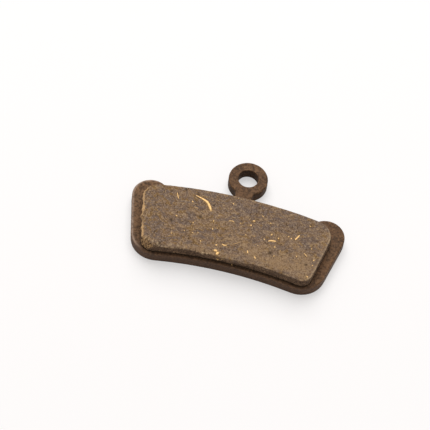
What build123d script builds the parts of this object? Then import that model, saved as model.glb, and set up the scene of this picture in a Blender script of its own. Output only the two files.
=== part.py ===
from build123d import *
import os
from math import acos, asin, cos, degrees, isclose, radians, sin, tan

# Bicycle disc brake pad: a blanked steel backing plate with a moulded friction block bonded to it.
# Millimetres, +Z up. The pad lies on its back with the friction face up. The origin is on the axis of the
# pin eye, at the plate's back face. +X runs along the pad and +Y from the pad towards the eye.
# The outline is laid out about the rotor's axis: long edges are arcs round it and both ends are radial lines.

# Layout about the rotor
rotor_radius = 80.0  # rim of the rotor, which the outer edge of the rubbing face follows
eye_rise = 5.2  # from that rim out to the centre of the pin eye

# Friction block, with the outline given at its rubbing face
friction_height = 12.0  # from the outer arc in to the inner arc
friction_half_angle = 11.7  # degrees from the middle of the pad to either end
friction_thickness = 1.8
friction_outer_corner = 2.7
friction_inner_corner = 1.8
friction_draft = 2.0  # degrees that the walls lean out towards the plate
friction_edge_break = 0.12

# Backing plate
plate_thickness = 2.0
plate_outer_margin = 0.4  # bare plate outside the foot of the friction block
plate_inner_margin = 0.42
plate_half_angle = 13.0  # degrees from the middle of the pad to either end
plate_inner_corner = 4.2
ear_radius = 3.12
ear_rise = 2.07  # top of each ear out from the rotor's rim
ear_root_fillet = 1.0
die_roll = 0.2  # rounding that blanking leaves along the front of the outline
edge_break = 0.1  # along the back, and round the front of the pierced hole

# Pin eye
eye_hole_diameter = 3.4
eye_outer_diameter = 6.55
neck_width = 2.8
neck_eye_fillet = 1.0
neck_root_fillet = 0.6

# Worked out from the sizes above
rotor_y = -(rotor_radius + eye_rise)
friction_inner_radius = rotor_radius - friction_height
draft_run = friction_thickness * tan(radians(friction_draft))
plate_outer_radius = rotor_radius + draft_run + plate_outer_margin
plate_inner_radius = friction_inner_radius - draft_run - plate_inner_margin


def about_rotor(radius, angle):
    """The point at a radius from the rotor's axis, at an angle in degrees from the middle of the pad."""
    turn = radians(angle)
    return (radius * sin(turn), rotor_y + radius * cos(turn))


def on_neck_side(vertex):
    """Whether a vertex of the plate's outline lies on either side of the neck."""
    return isclose(abs(vertex.X), neck_width / 2, abs_tol=1e-6)


# Each ear is a round lobe that touches the radial end line and stands proud of the plate's outer arc.
# It sweeps from the end line round to where it meets that arc, found by the law of cosines.
ear_orbit = rotor_radius + ear_rise - ear_radius
ear_angle = plate_half_angle - degrees(asin(ear_radius / ear_orbit))
ear_opening = acos((ear_orbit**2 + ear_radius**2 - plate_outer_radius**2) / (2 * ear_orbit * ear_radius))
ear_sweep = 270 - ear_angle - degrees(ear_opening) + plate_half_angle

# Backing plate
with BuildPart() as backing_plate:
    with BuildSketch() as blank:
        with BuildLine():
            inner_edge = RadiusArc(
                about_rotor(plate_inner_radius, 0),
                about_rotor(plate_inner_radius, plate_half_angle),
                plate_inner_radius,
            )
            ear = CenterArc(about_rotor(ear_orbit, ear_angle), ear_radius, -plate_half_angle, ear_sweep)
            Line(inner_edge @ 1, ear @ 0)
            RadiusArc(ear @ 1, about_rotor(plate_outer_radius, 0), -plate_outer_radius)
            mirror(about=Plane.YZ)
        make_face()
        fillet(blank.vertices().group_by(Axis.Y)[0], plate_inner_corner)
        fillet(blank.vertices().group_by(Axis.Y)[-1], ear_root_fillet)
        Circle(eye_outer_diameter / 2)
        Rectangle(neck_width, eye_rise + friction_height / 2, align=(Align.CENTER, Align.MAX))
        fillet(blank.vertices().filter_by(on_neck_side).group_by(Axis.Y)[0], neck_root_fillet)
        fillet(blank.vertices().filter_by(on_neck_side).group_by(Axis.Y)[-1], neck_eye_fillet)
        Circle(eye_hole_diameter / 2, mode=Mode.SUBTRACT)
    extrude(amount=plate_thickness)
    fillet(backing_plate.faces().sort_by(Axis.Z)[-1].outer_wire().edges(), die_roll)
    front = backing_plate.faces().sort_by(Axis.Z)[-1]
    back = backing_plate.faces().sort_by(Axis.Z)[0]
    chamfer(front.inner_wires().edges() + back.edges(), edge_break)

# Friction block, drawn at the rubbing face and widened by the draft down to the plate
with BuildPart() as friction_block:
    with BuildSketch(Plane.XY.offset(plate_thickness + friction_thickness)) as rubbing_face:
        with BuildLine():
            lower_edge = RadiusArc(
                about_rotor(friction_inner_radius, -friction_half_angle),
                about_rotor(friction_inner_radius, friction_half_angle),
                friction_inner_radius,
            )
            upper_edge = RadiusArc(
                about_rotor(rotor_radius, friction_half_angle),
                about_rotor(rotor_radius, -friction_half_angle),
                -rotor_radius,
            )
            Line(lower_edge @ 1, upper_edge @ 0)
            Line(upper_edge @ 1, lower_edge @ 0)
        make_face()
        fillet(rubbing_face.vertices().group_by(Axis.Y)[0], friction_inner_corner)
        fillet(rubbing_face.vertices().group_by(Axis.Y)[-1], friction_outer_corner)
    extrude(amount=-friction_thickness, taper=-friction_draft)
    fillet(friction_block.faces().sort_by(Axis.Z)[-1].edges(), friction_edge_break)

backing_plate.part.label = "backing_plate"
friction_block.part.label = "friction_block"

os.makedirs("parts", exist_ok=True)
export_step(backing_plate.part, "parts/backing_plate.step")
export_step(friction_block.part, "parts/friction_block.step")
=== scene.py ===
import math
from typing import NamedTuple

import bmesh
import bpy
import numpy as np
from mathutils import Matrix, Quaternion, Vector, noise
from mathutils.geometry import delaunay_2d_cdt


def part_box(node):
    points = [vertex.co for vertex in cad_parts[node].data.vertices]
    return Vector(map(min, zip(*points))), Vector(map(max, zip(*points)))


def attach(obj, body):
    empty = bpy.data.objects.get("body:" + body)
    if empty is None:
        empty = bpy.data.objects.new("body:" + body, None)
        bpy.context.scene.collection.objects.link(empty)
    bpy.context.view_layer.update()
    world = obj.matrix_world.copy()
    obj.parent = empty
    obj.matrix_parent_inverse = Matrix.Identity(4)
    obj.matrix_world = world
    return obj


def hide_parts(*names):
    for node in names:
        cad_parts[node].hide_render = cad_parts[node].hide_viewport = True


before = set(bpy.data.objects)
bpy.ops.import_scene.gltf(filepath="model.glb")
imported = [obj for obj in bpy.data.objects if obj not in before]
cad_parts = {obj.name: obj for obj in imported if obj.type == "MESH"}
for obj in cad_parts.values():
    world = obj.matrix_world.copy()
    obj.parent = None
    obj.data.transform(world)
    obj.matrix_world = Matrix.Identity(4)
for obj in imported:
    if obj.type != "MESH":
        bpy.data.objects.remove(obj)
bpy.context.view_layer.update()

bl_info = {
    "name": "Disc Brake Pad",
    "version": (1, 0, 0),
    "blender": (4, 5, 0),
    "location": "View3D > Sidebar > Brake Pad",
    "description": "Dresses a bicycle disc brake pad: coated steel plate, friction compound and brass",
    "category": "Add Mesh",
}

# Units and names shared by the pieces
MM = 0.001  # metres in a millimetre
SQUARE_CM = 1e-4  # square metres in a square centimetre
PLATE = "backing_plate"
BLOCK = "friction_block"
BODY = "root"
STEEL_SLOT = "coated_steel"
COMPOUND_SLOT = "friction_compound"
BRASS = "brass"

# Meshing
SAME_POINT = 1e-7  # points of a solid's facets closer than this are one point
SAME_HEIGHT = 1e-6
SMOOTHING_PASSES = 6  # blur that takes the facets' kinks out of an outline
GRID_CLEARANCE = 0.6  # of a step, kept free between an outline and the grid inside it
EDGE_ROWS = 4  # rows of points round an edge
COVERED_STEPS = 4  # mesh steps that the plate's front runs on under the block

# Noise
OCTAVE_FADE = 1.0  # how fast the finer octaves of lumps fade
OCTAVE_RATIO = 2.0  # how much finer each octave is than the last
NOISE_MIDDLE = (0.5, 0.5, 0.5)  # mean colour of cloudy noise

# Numbers of the sockets for colours in a Mix node, and for plain numbers in a Random Value node
MIX_FIRST = 6
MIX_SECOND = 7
MIXED = 2
DRAW_LOW = 2
DRAW_HIGH = 3
DRAWN = 1


class Grain(NamedTuple):
    """A brass grain in the friction block, in mm."""

    x: float
    y: float
    long: float
    wide: float
    drop: float = 0.0  # how far below the rubbing face it sits


class Area(NamedTuple):
    """A soft-edged area, seen from above, in mm."""

    x: float
    y: float
    along: float  # reach along X
    across: float  # reach along Y
    strength: float


class Layer(NamedTuple):
    """A colour that a finish shows where one of its patterns runs high or low."""

    colour: str
    pattern: str
    start: float  # level of the pattern at which the colour starts to show
    full: float  # level at which it shows fully, below the start for a colour in the pattern's lows
    share: float  # how much of the colour shows there

    def amount(self, finish):
        """How much of the colour shows over the surface."""
        return finish.patterns[self.pattern].ramp(self.start, self.full) * self.share


class Mark(NamedTuple):
    """A colour that a finish shows where its piece is marked."""

    colour: str
    name: str  # the mark, a value that the piece holds at its points
    share: float  # how much of the colour shows there
    gain: float = 0.0  # how much more of it shows in a pattern's highs, below 0 for less
    pattern: str | None = None

    def amount(self, finish):
        """How much of the colour shows over the surface."""
        held = finish.mark(self.name)
        if self.pattern is None:
            return held * self.share
        return held * (self.share + finish.patterns[self.pattern] * self.gain)


# Brass fibres that stand out on the rubbing face: tarnish from 0 to 1, then X, Y and width in mm along each
FIBRES = {
    "long_curl": (
        0.0,
        [
            (-7.5, -6.87, 0.2),
            (-6.67, -7.1, 0.28),
            (-5.9, -7.38, 0.4),
            (-5.4, -7.62, 0.5),
            (-5.04, -8.0, 0.48),
            (-4.75, -8.43, 0.56),
            (-4.5, -8.86, 0.54),
            (-4.33, -9.3, 0.4),
        ],
    ),
    "upright_bar": (0.5, [(-10.5, -7.15, 0.2), (-10.25, -7.8, 0.22), (-9.95, -8.3, 0.26)]),
    "shallow_arc": (0.5, [(-1.2, -10.3, 0.1), (-0.6, -10.15, 0.16), (-0.15, -10.35, 0.16)]),
    "smile": (0.3, [(-1.25, -14.9, 0.14), (-0.95, -15.07, 0.26), (-0.65, -15.07, 0.32), (-0.3, -14.88, 0.2)]),
    "middle_dash": (0.1, [(3.05, -15.0, 0.2), (3.2, -15.55, 0.24)]),
    "lower_dash": (0.2, [(4.33, -15.75, 0.18), (4.67, -16.25, 0.28)]),
    "level_bar": (0.0, [(5.85, -12.4, 0.22), (6.25, -12.16, 0.28), (6.72, -12.1, 0.32), (7.16, -12.04, 0.4)]),
    "bright_bar": (0.0, [(10.05, -10.95, 0.42), (10.3, -10.45, 0.3), (10.6, -9.8, 0.3)]),
    "bar_mate": (0.1, [(9.35, -10.7, 0.2), (9.5, -10.95, 0.26)]),
    "thin_curl": (0.3, [(11.9, -13.0, 0.1), (12.25, -13.25, 0.14), (12.6, -13.6, 0.12)]),
    "left_dash": (1.0, [(-9.5, -14.8, 0.12), (-9.6, -15.4, 0.16)]),
    "left_streak": (0.9, [(-7.2, -9.1, 0.12), (-6.45, -9.3, 0.14)]),
    "faint_trail": (1.0, [(0.45, -14.5, 0.08), (1.0, -14.2, 0.1), (1.55, -13.82, 0.08)]),
}

# Brass grains that stand out on the rubbing face, and the last three on the front wall
GRAINS = [
    Grain(-7.65, -8.25, 0.39, 0.3),
    Grain(-9.55, -11.65, 0.38, 0.32),
    Grain(-7.65, -14.05, 0.23, 0.21),
    Grain(-6.25, -14.15, 0.28, 0.23),
    Grain(-5.45, -13.85, 0.32, 0.18),
    Grain(-4.65, -15.35, 0.3, 0.25),
    Grain(-3.3, -12.55, 0.34, 0.25),
    Grain(-3.5, -11.0, 0.3, 0.23),
    Grain(-6.62, -12.2, 0.34, 0.26),
    Grain(-1.15, -6.8, 0.32, 0.28),
    Grain(-1.3, -7.95, 0.23, 0.18),
    Grain(0.8, -10.2, 0.28, 0.21),
    Grain(-1.92, -16.5, 0.74, 0.64),
    Grain(-1.5, -16.92, 0.82, 0.76),
    Grain(2.85, -9.2, 0.48, 0.39),
    Grain(2.55, -10.15, 0.37, 0.34),
    Grain(4.05, -7.9, 0.39, 0.21),
    Grain(2.15, -12.2, 0.3, 0.28),
    Grain(6.2, -11.0, 0.44, 0.3),
    Grain(7.42, -11.38, 0.34, 0.28),
    Grain(5.55, -8.85, 0.41, 0.21),
    Grain(5.22, -12.2, 0.3, 0.26),
    Grain(7.15, -13.2, 0.34, 0.3),
    Grain(11.9, -7.65, 0.3, 0.25),
    Grain(13.0, -11.9, 0.28, 0.23),
    Grain(13.8, -13.95, 0.39, 0.34),
    Grain(13.8, -14.95, 0.25, 0.21),
    Grain(13.4, -17.3, 0.41, 0.32),
    Grain(10.95, -14.0, 0.25, 0.21),
    Grain(7.4, -14.9, 0.3, 0.23),
    Grain(8.95, -10.57, 0.28, 0.22),
    Grain(-2.03, -15.4, 0.42, 0.34),
    Grain(-1.25, -17.45, 0.5, 0.44, 0.7),
    Grain(-0.55, -17.45, 0.4, 0.34, 0.35),
    Grain(1.15, -17.4, 0.3, 0.26, 1.5),
]

# Dark pits that stand out on the rubbing face: X, Y and reach in mm
PITS = [
    (-10.2, -12.65, 0.48),
    (-5.75, -10.75, 0.44),
    (-10.95, -17.55, 0.39),
    (-12.2, -15.5, 0.25),
    (-9.2, -6.15, 0.34),
    (-7.15, -6.55, 0.28),
    (-4.15, -8.0, 0.28),
    (6.7, -14.5, 0.48),
    (12.75, -15.15, 0.28),
]

# Pale crumbs of compound that hang on the front rim and wall: X, Y, Z and reach in mm
CRUMBS = [
    (-3.85, -17.35, 3.7, 0.3),
    (-3.1, -17.25, 3.75, 0.26),
    (-1.4, -17.3, 2.9, 0.3),
    (-0.6, -17.25, 3.2, 0.26),
    (1.15, -17.25, 2.2, 0.18),
    (-11.2, -17.6, 3.8, 0.34),
    (-9.25, -17.4, 3.8, 0.4),
    (-8.0, -17.15, 3.8, 0.3),
    (-13.3, -17.15, 3.75, 0.26),
    (-12.75, -17.4, 3.75, 0.24),
    (-12.15, -17.5, 3.8, 0.28),
    (-13.1, -17.75, 3.2, 0.24),
    (-12.5, -17.9, 2.9, 0.22),
]

# Slate-grey, tan and amber areas of the rubbing face
SLATE_AREAS = [
    Area(-13.3, -7.6, 0.8, 0.35, 1.0),
    Area(-12.0, -14.4, 1.0, 0.6, 1.0),
    Area(-0.8, -11.0, 1.5, 0.4, 0.9),
    Area(-0.4, -5.3, 0.9, 0.6, 0.9),
    Area(9.6, -5.1, 1.2, 1.0, 0.7),
    Area(12.1, -12.1, 0.9, 0.6, 1.0),
    Area(4.0, -11.3, 1.3, 0.8, 0.8),
    Area(0.5, -7.2, 5.0, 1.7, 1.0),
    Area(8.5, -8.0, 4.5, 2.2, 0.9),
]
TAN_AREAS = [
    Area(8.6, -15.7, 3.0, 1.7, 1.0),
    Area(11.9, -15.6, 2.0, 1.9, 1.0),
    Area(4.4, -15.6, 2.2, 1.3, 0.9),
    Area(1.4, -13.6, 1.4, 0.7, 0.6),
    Area(-3.0, -16.9, 3.6, 0.6, 0.8),
]
AMBER_AREAS = [
    Area(3.2, -8.2, 0.7, 0.5, 0.8),
    Area(2.0, -9.0, 0.9, 0.4, 0.6),
    Area(-0.4, -12.0, 1.1, 0.35, 0.7),
    Area(-2.5, -12.1, 1.3, 0.35, 0.9),
    Area(-1.0, -13.8, 0.4, 0.6, 0.7),
    Area(-13.6, -8.9, 0.9, 0.5, 0.4),
    Area(-12.6, -17.4, 1.0, 0.5, 0.8),
    Area(7.0, -10.4, 0.9, 0.5, 0.5),
    Area(10.2, -12.8, 0.8, 0.4, 0.5),
    Area(-6.6, -7.25, 0.8, 0.4, 0.9),
    Area(-5.3, -7.9, 0.6, 0.5, 1.0),
    Area(-4.7, -8.6, 0.5, 0.6, 0.9),
]

# Parts of the front wall that are worn down to the compound
WORN_FRONT = [Area(1.4, -17.0, 3.4, 1.2, 0.75), Area(6.4, -17.0, 2.6, 1.2, 0.5)]

# Parts of the rim where compound bulges out over the wall
BULGED_RIM = [
    Area(-15.1, -13.3, 1.0, 0.4, 0.6),
    Area(-9.8, -17.5, 2.2, 1.5, 0.45),
    Area(-3.6, -17.0, 1.6, 1.5, 0.6),
    Area(-0.4, -17.0, 2.2, 1.5, 1.0),
    Area(2.4, -17.0, 1.6, 1.5, 0.8),
]

# Part of the rim that is worn back over the wall
WORN_RIM = [Area(15.6, -7.6, 2.2, 2.2, 0.65)]

# Part of the front rim that also gets the pale painted highlight along the rim
PALE_RIM = [Area(-10.0, -17.8, 2.0, 0.8, 1.0)]

# Gold burr down the left end of the rubbing face, its gold partly a painted highlight: Y and width in mm,
# then strength
BURR = [
    (-17.6, 0.08, 0.0),
    (-17.0, 0.24, 0.8),
    (-16.4, 0.34, 0.95),
    (-15.7, 0.29, 0.8),
    (-15.0, 0.22, 0.65),
    (-14.5, 0.16, 0.6),
    (-14.0, 0.08, 0.1),
    (-13.3, 0.08, 0.3),
    (-12.7, 0.11, 0.5),
    (-12.1, 0.21, 0.75),
    (-11.5, 0.29, 1.0),
    (-10.9, 0.21, 0.8),
    (-9.8, 0.19, 0.6),
    (-8.8, 0.16, 0.7),
    (-8.0, 0.13, 0.5),
    (-6.6, 0.13, 0.3),
    (-5.8, 0.08, 0.0),
]

# Places where the plate's coating is lighter, besides its left end and the ledge in front. The two broad
# areas on the right end are painted light against the block's shadow.
RUBBED_AND_LIT_SPOTS = [
    Area(16.0, -15.8, 0.5, 0.9, 1.0),
    Area(16.9, -13.6, 0.25, 0.7, 1.0),
    Area(16.0, -12.0, 1.8, 4.5, 0.7),
    Area(14.4, -17.0, 2.0, 1.6, 0.8),
]

# Wear of the plate, and where it is painted light and shade. Here and below, a pair of values says where
# something starts and where it is full.
PEEL_SIZE = 0.4 * MM
SHEAR_SIZE = 0.3 * MM
SHEAR_DRAW = 0.3  # squash of heights that draws the marks of blanking out down the walls
LEFT_END = (13.4 * MM, 15.0 * MM)  # way to the left at which the coating turns lighter
LEDGE_FACING = (0.6, 0.9)  # how squarely the rim faces the front where the ledge is rubbed
LEDGE_SHARE = 0.6  # of the walls' colour on that ledge
FRONT_PART = (8.0 * MM, 12.0 * MM)  # way to the front at which the walls turn from painted shade to the grey of blanking

# Wear of the friction block
RIM_BAND = 0.3 * MM  # between the rim and the rubbing face or wall proper
FRONT_FACING = (0.2, 0.7)  # how squarely the rim faces the front
END_FACING = (0.4, 0.8)  # how squarely it faces the left or right
PIT_SPREAD = 0.65  # of a pit's reach, for its bell curve
SMALL_PIT_SIZE = 0.34 * MM
SMALL_PIT_LEVELS = (0.5, 0.75)
SMALL_PIT_SHARE = 0.6  # of the depth of the large pits
CHIP_SIZE = 0.6 * MM
CHIP_LEVELS = (-0.1, 0.45)
CHIP_BAND = 0.24 * MM  # reach of the chips from the rim
CHIP_LEAST = 0.15  # share of the chips away from the front
BROKEN_LEVELS = (0.25, 0.6)  # depth of chips that shows fresh compound
BROKEN_SHARE = 0.5
GROOVE_TOP = 0.36 * MM  # height above the plate at which the bond groove starts
GROOVE_FULL = 0.18 * MM  # height below which it is full
RIPPLE_SIZE = 0.6 * MM
LUMP_SIZE = 0.4 * MM
RAGGED_SIZE = 0.7 * MM
RAGGED_SHARE = 0.5  # of a bulge that comes and goes along the rim
BULGE_BAND = 0.35 * MM  # reach of a bulge in from the rim
BULGE_DEPTH = (0.3 * MM, 1.1 * MM)  # way down the wall at which a bulge ends
WORN_DEPTH = (0.5 * MM, 1.2 * MM)  # way down the wall at which the worn front ends
PALE_BAND = 0.16 * MM  # reach of the pale rim
WANDER_REACH = 0.5 * MM  # how far the edges of the coloured areas wander
WANDER_SIZE = 0.9 * MM
WANDER_LAYERS = (17.0, 19.0, 21.0)
BURR_FACING = (0.55, 0.9)  # how squarely the rim faces the left
BURR_SIZE = 0.3 * MM
BURR_CORE = 0.5  # share of the burr's width that is full
CRUMB_EDGE = (0.4, 1.0)  # share of a crumb's reach at which it ends
CORNER_START = (12.4 * MM, 13.6 * MM)  # way to the left at which the front is crumbled
CORNER_DEPTH = (0.8 * MM, 1.3 * MM)  # way down the wall at which that ends
BREAK_POINT = (-14.1, -17.0, 3.8)  # in mm, on the plane along which the lower left corner is broken
BREAK_SLANT = (-0.42, -0.85, 0.31)  # way that the plane faces
BREAK_START = (10.8 * MM, 12.0 * MM)  # way to the left at which the break shows
BREAK_SIZE = 0.35 * MM
BREAK_ROUGHNESS = 0.12 * MM

# Brass
UNIT_RADIUS = 0.5  # of a section or a grain one unit across
STRAND_ROWS = 24
STRAND_SIDES = 8
STRAND_TAPER = 0.25  # power that rounds the ends of a strand
BALL_SUBDIVISIONS = 2
DENT_SCALE = 2.2  # of the noise that dents a grain one unit across
GRAIN_TARNISH = 0.25  # highest level drawn
FLECK_TARNISH = 1.5
FLECK_LENGTHS = (0.55, 1.0)  # of the longest, drawn before the power below
FLECK_SKEW = 2.0  # power that makes short flecks the commoner ones
FLECK_WIDTHS = (0.35, 0.8)  # of a fleck's own length
LENGTH_DRAW = 1
WIDTH_DRAW = 2
TURN_DRAW = 3
TARNISH_DRAW = 4

# Patterns: the levels of noise between which each goes from 0 to 1, and its part in relief and roughness
PATCHY = (0.36, 0.6)
STREAKY = (0.36, 0.6)
VEINED = (0.4, 0.6)
ROUGH = (0.4, 0.6)
STAINED = (0.45, 0.65)
MOTTLE_RELIEF = 0.6
SMEAR_RELIEF = 0.5
PULP_RELIEF = 0.3
ROUGHNESS_SPREAD = 0.3

# Stage
FLOOR_HALF = 3.0  # metres from the middle of the floor to its sides
CLIP_SHARE = 0.01  # of the camera's distance, in front of which nothing is drawn
WHITE = (1.0, 1.0, 1.0)

# Colours of the finishes, each laid over those before it
STEEL_LAYERS = [
    # Lighter brown on the left end, the ledge and small spots, and painted light over the right end
    Mark("rubbed_and_lit", "rubbed_and_lit", 0.55, 0.45, "patchy"),
    Layer("rust", "cloud", 0.48, 0.6, 0.5),
    Layer("shade", "cloud", 0.46, 0.38, 0.4),
    Layer("shade", "mottle", 0.48, 0.38, 0.6),
    Layer("rubbed_and_lit", "mottle", 0.53, 0.63, 0.45),
    Layer("shade", "speck", 0.48, 0.38, 0.65),
    Layer("rubbed_and_lit", "speck", 0.52, 0.63, 0.5),
    Mark("sheared", "sheared", 0.6),
    # Pale rim of the left end: wear, and a painted highlight on its rounded edge
    Mark("rim_wear_and_highlight", "rim", 0.4, 0.5, "patchy"),
    # Painted shade in the pin's hole and on the walls away from the front
    Mark("shade", "painted_shade", 0.6),
]
FACE_LAYERS = [
    Layer("slate", "cloud", 0.48, 0.38, 0.5),
    Layer("tan", "cloud", 0.52, 0.64, 0.3),
    Layer("slate", "smear", 0.48, 0.39, 0.95),
    Layer("tan", "smear", 0.53, 0.62, 0.7),
    Layer("amber", "vein", 0.54, 0.63, 0.85),
    Layer("slate", "vein", 0.45, 0.37, 0.6),
    Mark("slate", "slate", 0.9, -0.5, "streaky"),
    Mark("tan", "tan", 0.6, 0.3, "streaky"),
    Mark("amber", "amber", 0.3, 0.5, "veined"),
    Layer("pale", "pulp", 0.53, 0.64, 0.32),
    Layer("umber", "pulp", 0.47, 0.36, 0.5),
    Layer("pale", "crumb", 0.55, 0.68, 0.55),
    Layer("umber", "crumb", 0.46, 0.34, 0.9),
    Layer("dark", "crumb", 0.38, 0.3, 0.6),
    Mark("tan", "tan", 0.35),
]
WALL_LAYERS = [
    Layer("base", "smear", 0.5, 0.6, 0.5),
    Layer("tan", "crumb", 0.53, 0.66, 0.6),
    Layer("dark", "crumb", 0.47, 0.36, 0.75),
]
WEAR_LAYERS = [
    # Painted highlight along the rim
    Mark("pale", "rim", 0.2, 0.4, "streaky"),
    Mark("pale", "broken", 0.0, 0.75, "rough"),
    Mark("dark", "broken", 0.4, -0.4, "rough"),
    Mark("umber", "crumbled", 0.9, -0.9, "rough"),
    Mark("gilt", "crumbled", 0.0, 0.7, "rough"),
    Mark("pale", "crumb", 0.4, 0.5, "rough"),
    # The burr's gold is partly a painted highlight on the left end
    Mark("gilt", "flash", 0.7, 0.3, "rough"),
    Mark("dark", "pit", 0.9),
    # Painted shade in the crevice at the foot of the walls, over the real groove
    Mark("dark", "foot", 0.9),
]


def colour(name, description, default):
    """A colour that a user may change."""
    return bpy.props.FloatVectorProperty(
        name=name, description=description, subtype="COLOR", size=3, min=0.0, max=1.0, default=default
    )


def length(name, description, millimetres):
    """A length that a user may change."""
    return bpy.props.FloatProperty(
        name=name, description=description, unit="LENGTH", precision=5, min=0.0, default=millimetres * MM
    )


def share(name, description, default):
    """A share, from 0 to 1, that a user may change."""
    return bpy.props.FloatProperty(
        name=name, description=description, subtype="FACTOR", min=0.0, max=1.0, default=default
    )


def angle(name, description, degrees):
    """An angle that a user may change."""
    return bpy.props.FloatProperty(
        name=name, description=description, subtype="ANGLE", unit="ROTATION", default=math.radians(degrees)
    )


class PlateLook(bpy.types.PropertyGroup):
    """Looks of the backing plate and its coating."""

    step: length("Mesh step", "Distance between the mesh's points", 0.16)
    peel: length("Peel", "Height of the coating's fine ripple", 0.008)
    shear: length("Shear", "Depth of the marks that blanking leaves on the walls", 0.02)
    # Reach of the pale rim, which is wear and a painted highlight
    rim: length("Worn rim", "How far the wear runs in from the edge of the left end", 0.14)
    cloud: length("Clouds", "Size of the coating's large patches", 1.5)
    mottle: length("Mottle", "Size of the coating's small patches", 0.6)
    speck: length("Specks", "Size of the coating's finest patches", 0.28)
    grain: length("Grain", "Height of the coating's finest relief", 0.05)
    relief: share("Relief", "How strongly the finest relief shows", 0.5)
    roughness: share("Roughness", "Roughness of the coating at its smoothest", 0.5)
    sheen: share("Sheen", "Strength of the coating's reflection", 0.14)
    coating: colour("Coating", "Brown of the coating", (0.105, 0.055, 0.026))
    rust: colour("Warm patches", "Warmer brown where the coating is thin", (0.140, 0.069, 0.031))
    # Also laid as painted shade in the pin's hole and on the walls away from the front
    shade: colour("Dark patches", "Dark brown where the coating is thick or soiled", (0.044, 0.022, 0.009))
    # Also the painted light over the right end of the plate
    rubbed_and_lit: colour("Rubbed", "Light brown where the coating is rubbed", (0.200, 0.111, 0.055))
    sheared: colour("Walls", "Grey-brown of the sheared walls", (0.092, 0.060, 0.045))
    # Wear and a painted highlight along the left end's rounded edge
    rim_wear_and_highlight: colour("Worn rim colour", "Pale grey-brown along the worn rim", (0.360, 0.262, 0.200))


class CompoundLook(bpy.types.PropertyGroup):
    """Looks of the friction block."""

    step: length("Mesh step", "Distance between the mesh's points", 0.12)
    edge: length("Edge rounding", "Rounding along the edge of the rubbing face", 0.12)
    ripple: length("Ripple", "Height of the waves on the rubbing face", 0.012)
    lump: length("Wall lumps", "Height of the lumps on the walls", 0.09)
    pit: length("Pit depth", "Depth of the pits in the rubbing face", 0.12)
    chip: length("Chips", "Depth of the chips along the edge nearest the rotor's axis", 0.16)
    bulge: length("Bulge", "How far compound bulges out over the walls", 0.32)
    groove: length("Bond groove", "How far the foot is drawn in above the plate", 0.2)
    flash: length("Flash", "Height of the burr along the left end", 0.05)
    cloud: length("Clouds", "Size of the compound's large patches", 2.4)
    smear: length("Smears", "Width of the smears in the compound", 0.55)
    vein: length("Veins", "Width of the resin-soaked strands in the compound", 0.44)
    pulp: length("Pulp", "Width of the pulp strands in the compound", 0.17)
    crumb: length("Crumbs", "Size of the compound's crumbs", 0.22)
    swirl: length("Swirl", "How far the smears and strands are carried off in curls", 2.4)
    curl: length("Curls", "Size of those curls", 2.6)
    grain: length("Grain", "Height of the compound's finest relief", 0.04)
    relief: share("Relief", "How strongly the finest relief shows", 0.6)
    roughness: share("Roughness", "Roughness of the compound at its smoothest", 0.6)
    sheen: share("Sheen", "Strength of the compound's reflection", 0.14)
    base: colour("Compound", "Grey-brown of the compound", (0.206, 0.131, 0.081))
    slate: colour("Slate", "Grey of the mineral patches", (0.137, 0.098, 0.081))
    tan: colour("Tan", "Tan of the resin patches", (0.292, 0.188, 0.101))
    amber: colour("Amber", "Amber brown of the resin-soaked strands", (0.202, 0.113, 0.036))
    umber: colour("Umber", "Dark brown between the pulp strands and crumbs", (0.100, 0.057, 0.026))
    # Also the painted shade in the crevice at the foot of the walls
    dark: colour("Dark", "Near-black of pits and rubber crumbs", (0.040, 0.024, 0.012))
    # Also the painted highlight along the rim of the block
    pale: colour("Pale", "Pale tan of the grains and crumbs", (0.446, 0.325, 0.199))
    skin: colour("Skin", "Dark brown of the moulded walls", (0.088, 0.053, 0.033))
    # Partly a painted highlight along the left end
    gilt: colour("Gilt", "Gold-tan of the burr", (0.620, 0.390, 0.180))


class BrassLook(bpy.types.PropertyGroup):
    """Looks of the brass in the compound."""

    flatness: share("Flatness", "Height of a fleck as a share of its width", 0.35)
    count: bpy.props.FloatProperty(
        name="Flecks", description="Scattered flecks on each square centimetre", min=0.0, default=50.0
    )
    fleck: length("Fleck", "Length of the longest scattered fleck", 0.22)
    seed: bpy.props.IntProperty(name="Seed", description="Draw of the scattered flecks", default=11)
    scratch: length("Scratches", "Size of the scratches", 0.1)
    stain: length("Stains", "Size of the stains", 0.35)
    stained: share("Staining", "How far the stains dull the brass", 0.4)
    grain: length("Grain", "Height of the scratches", 0.02)
    relief: share("Relief", "How strongly the scratches show", 0.4)
    roughness: share("Roughness", "Roughness of the brass at its smoothest", 0.42)
    bright: colour("Brass", "Yellow of the cut brass", (0.505, 0.324, 0.142))
    dull: colour("Dull brass", "Brown of tarnished brass", (0.330, 0.208, 0.092))


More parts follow.
